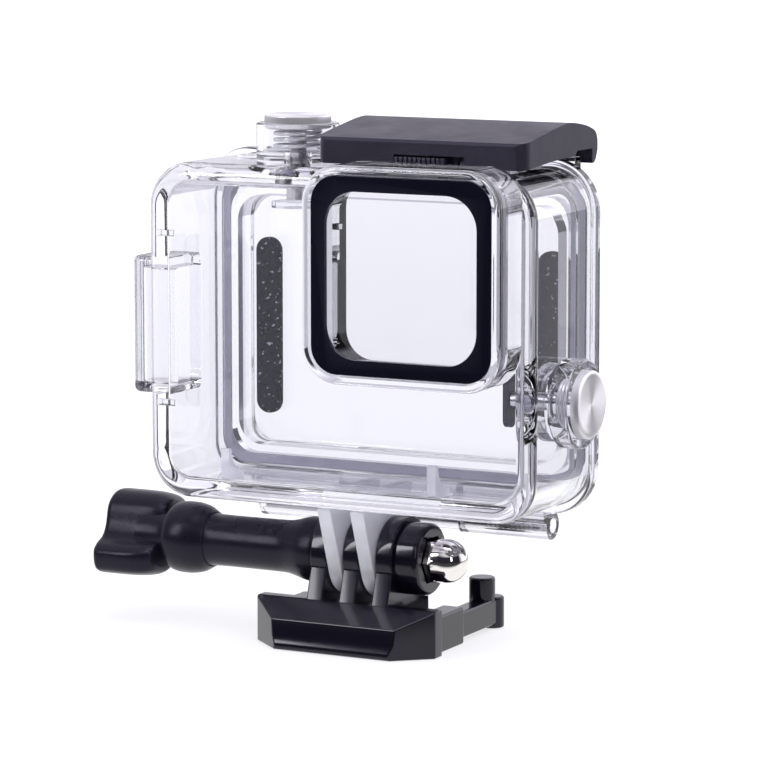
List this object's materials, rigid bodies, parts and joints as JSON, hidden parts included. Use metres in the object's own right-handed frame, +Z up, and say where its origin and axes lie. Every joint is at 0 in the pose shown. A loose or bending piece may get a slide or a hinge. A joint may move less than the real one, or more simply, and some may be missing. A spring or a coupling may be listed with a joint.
{
  "type": "action camera waterproof housing",
  "caption": "Clear dive housing for a small action camera, with hinged back door, toggle latch, push buttons and a tilting quick-release buckle.",
  "frame": {"origin": "centre of the buckle's flat underside, directly below the tilt pivot", "axes": "+X to the right as seen from the front, along the tilt pivot; +Y from the lens window back to the door; +Z up from the buckle to the latch"},
  "size_m": [0.0917, 0.043, 0.0896],
  "materials": {
    "clear_polycarbonate": "clear, polished mould finish",
    "window_glass": "clear, polished",
    "black_bezel": "gloss black",
    "black_nylon": "satin with a fine spark-eroded texture",
    "brushed_steel": "turned and brushed",
    "polished_chrome": "mirror polished",
    "seal_rubber": "matt",
    "dark_foam": "closed-cell foam, matt"
  },
  "bodies": {
    "buckle": {"buckle": "black_nylon", "acorn_nut": "polished_chrome"},
    "thumb_screw": {"thumb_knob": "black_nylon", "screw_bolt": "brushed_steel"},
    "housing": {"front_shell": "clear_polycarbonate", "lens_frame": "black_bezel", "lens_window": "window_glass", "lens_seal": "seal_rubber", "hinge_pin": "brushed_steel", "latch_hinge_pin": "brushed_steel", "shutter_seal": "seal_rubber", "mode_seal": "seal_rubber"},
    "back_door": {"door_shell": "clear_polycarbonate", "door_gasket": "seal_rubber", "foam_pad_left": "dark_foam", "foam_pad_right": "dark_foam"},
    "latch_link": {"latch_link": "black_nylon"},
    "latch_lever": {"latch_lever": "black_nylon", "lever_pin": "brushed_steel"},
    "lock_slider": {"lock_slider": "black_nylon"},
    "shutter_button": {"shutter_cap": "brushed_steel", "shutter_shaft": "brushed_steel", "shutter_spring": "brushed_steel", "shutter_clip": "brushed_steel", "shutter_plate": "black_nylon"},
    "mode_button": {"mode_cap": "brushed_steel", "mode_shaft": "brushed_steel", "mode_spring": "brushed_steel", "mode_clip": "brushed_steel", "mode_plate": "black_nylon"}
  },
  "joints": [
    {"name": "screw_turn", "type": "hinge", "parent": "buckle", "child": "thumb_screw", "pos_m": [0, 0, 0.015], "axis": [1, 0, 0], "continuous": true},
    {"name": "mount_tilt", "type": "hinge", "parent": "buckle", "child": "housing", "pos_m": [0, 0, 0.015], "axis": [1, 0, 0], "range_deg": [-15, 60]},
    {"name": "door_swing", "type": "hinge", "parent": "housing", "child": "back_door", "pos_m": [0, 0.014, 0.02], "axis": [-1, 0, 0], "range_deg": [0, 105]},
    {"name": "latch_link_swing", "type": "hinge", "parent": "housing", "child": "latch_link", "pos_m": [0, 0.005, 0.084], "axis": [-1, 0, 0], "range_deg": [0, 80]},
    {"name": "latch_lever_swing", "type": "hinge", "parent": "latch_link", "child": "latch_lever", "pos_m": [0, -0.0045, 0.084], "axis": [-1, 0, 0], "range_deg": [-64, 0]},
    {"name": "lock_slide", "type": "slide", "parent": "latch_lever", "child": "lock_slider", "axis": [1, 0, 0], "range_m": [0, 0.003]},
    {"name": "shutter_press", "type": "slide", "parent": "housing", "child": "shutter_button", "axis": [0, 0, -1], "range_m": [0, 0.0018], "stiffness_N_per_m": 900, "springref_m": -0.001, "deforming": ["shutter_spring"]},
    {"name": "mode_press", "type": "slide", "parent": "housing", "child": "mode_button", "axis": [-1, 0, 0], "range_m": [0, 0.0018], "stiffness_N_per_m": 900, "springref_m": -0.001, "deforming": ["mode_spring"]}
  ],
  "couplings": [
    {"joint": "latch_lever_swing", "follows": "latch_link_swing", "ratio": -0.8}
  ]
}
